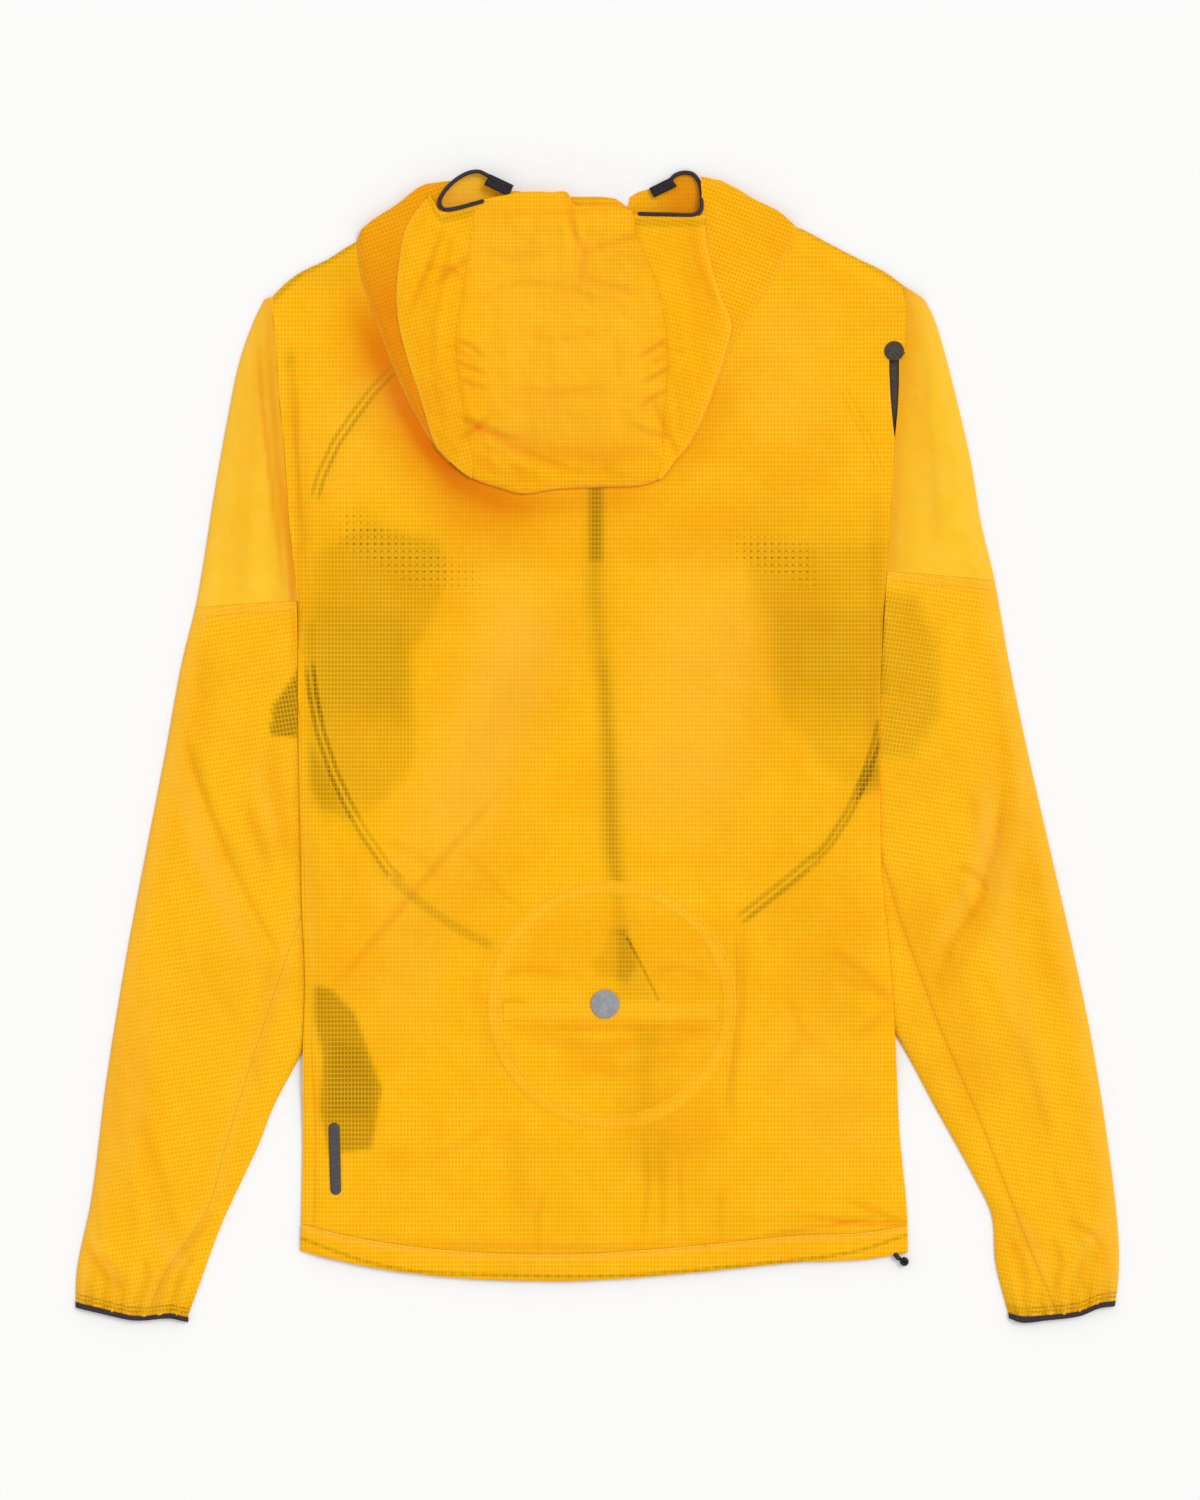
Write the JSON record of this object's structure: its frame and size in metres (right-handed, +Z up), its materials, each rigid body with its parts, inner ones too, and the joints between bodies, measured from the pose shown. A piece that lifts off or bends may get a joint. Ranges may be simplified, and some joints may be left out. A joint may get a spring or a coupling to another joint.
{
  "type": "hooded windbreaker jacket",
  "caption": "lightweight hooded windbreaker laid flat on its front, hood on the back, elastic cuffs, drawcord hem, round stow pocket on the lower back",
  "frame": {"origin": "middle of the jacket's outline seen from above, on the surface that it lies on", "axes": "+X to the right seen from above, +Y from hem to hood, +Z up off the surface"},
  "size_m": [0.6896, 0.7608, 0.01],
  "materials": {
    "ripstop_body": "thin translucent ripstop, matte with a slight sheen",
    "ripstop_sleeve": "thin translucent ripstop, matte with a slight sheen",
    "plain_yoke": "thin plain weave, matte",
    "inner_mesh": "dark open mesh, matte",
    "binding": "ribbed elastic binding, matte",
    "webbing": "woven tape, matte",
    "label_fabric": "bonded label, matte",
    "silver_film": "grey retroreflective film, satin",
    "zip_coil": "moulded coil, satin",
    "toggle_plastic": "moulded plastic, satin"
  },
  "bodies": {
    "root": {"back_panel": "ripstop_body", "hem_back": "ripstop_body", "front_shoulder_left": "plain_yoke", "front_shoulder_right": "plain_yoke", "front_chest_left": "ripstop_body", "front_chest_right": "ripstop_body", "front_lower_left": "ripstop_body", "front_lower_right": "ripstop_body", "hem_front_left": "ripstop_body", "hem_front_right": "ripstop_body", "zip_tape_left": "ripstop_sleeve", "zip_tape_right": "ripstop_sleeve", "zip_coil_upper_left": "zip_coil", "zip_coil_upper_right": "zip_coil", "zip_coil_lower": "zip_coil", "zip_slider": "toggle_plastic", "collar_left": "ripstop_body", "collar_right": "ripstop_body", "mesh_pocket_left": "inner_mesh", "mesh_pocket_right": "inner_mesh", "hand_pocket_left": "inner_mesh", "vent_mesh_left": "inner_mesh", "vent_mesh_right": "inner_mesh", "vent_dot_left": "inner_mesh", "vent_dot_right": "inner_mesh", "pocket_ring": "ripstop_body", "pocket_lip": "ripstop_body", "silver_dot": "silver_film", "label_tab": "label_fabric", "hem_toggle": "toggle_plastic", "toggle_cord": "webbing", "sleeve_yoke_left": "plain_yoke", "sleeve_yoke_right": "plain_yoke", "sleeve_main_left": "ripstop_sleeve", "sleeve_main_right": "ripstop_sleeve", "sleeve_under_left": "ripstop_sleeve", "sleeve_under_right": "ripstop_sleeve", "cuff_binding_left": "binding", "cuff_binding_right": "binding", "hood_wing_left": "ripstop_sleeve", "hood_wing_right": "ripstop_sleeve", "hood_side_left": "ripstop_sleeve", "hood_side_right": "ripstop_sleeve", "hood_centre": "ripstop_sleeve", "hood_binding_left": "binding", "hood_binding_right": "binding", "hood_tab_left": "webbing", "hood_tab_right": "webbing"}
  },
  "joints": []
}
